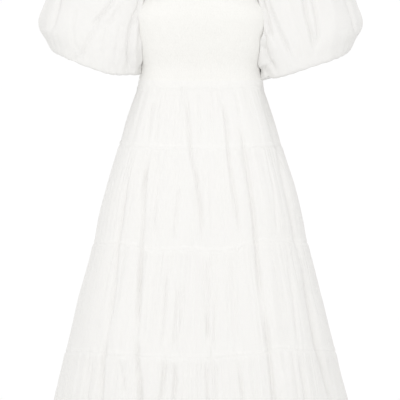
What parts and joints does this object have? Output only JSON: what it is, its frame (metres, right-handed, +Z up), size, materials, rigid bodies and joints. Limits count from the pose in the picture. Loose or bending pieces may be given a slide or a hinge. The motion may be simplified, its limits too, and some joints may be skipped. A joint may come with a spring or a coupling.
{
  "type": "midi dress",
  "caption": "Midi dress with a smocked bodice, elbow-length balloon sleeves and a flared skirt of gathered tiers, filled out as if worn.",
  "frame": {"origin": "midway between the shoulders, at the height of the shoulder seams", "axes": "+Z up the dress, -Y towards the front, +X to the right of the front view"},
  "size_m": [0.6975, 0.5392, 1.1939],
  "materials": {
    "smocked_cotton": "matte, finely smocked",
    "plain_cotton": "matte, light plain weave"
  },
  "bodies": {
    "root": {"bodice_front": "smocked_cotton", "bodice_back": "smocked_cotton", "sleeve_left": "plain_cotton", "sleeve_right": "plain_cotton", "cuff_left": "plain_cotton", "cuff_right": "plain_cotton", "skirt_tier_1_front": "plain_cotton", "skirt_tier_1_back": "plain_cotton", "skirt_tier_2_front": "plain_cotton", "skirt_tier_2_back": "plain_cotton", "skirt_tier_3_front": "plain_cotton", "skirt_tier_3_back": "plain_cotton", "skirt_tier_4_front": "plain_cotton", "skirt_tier_4_back": "plain_cotton"}
  },
  "joints": []
}
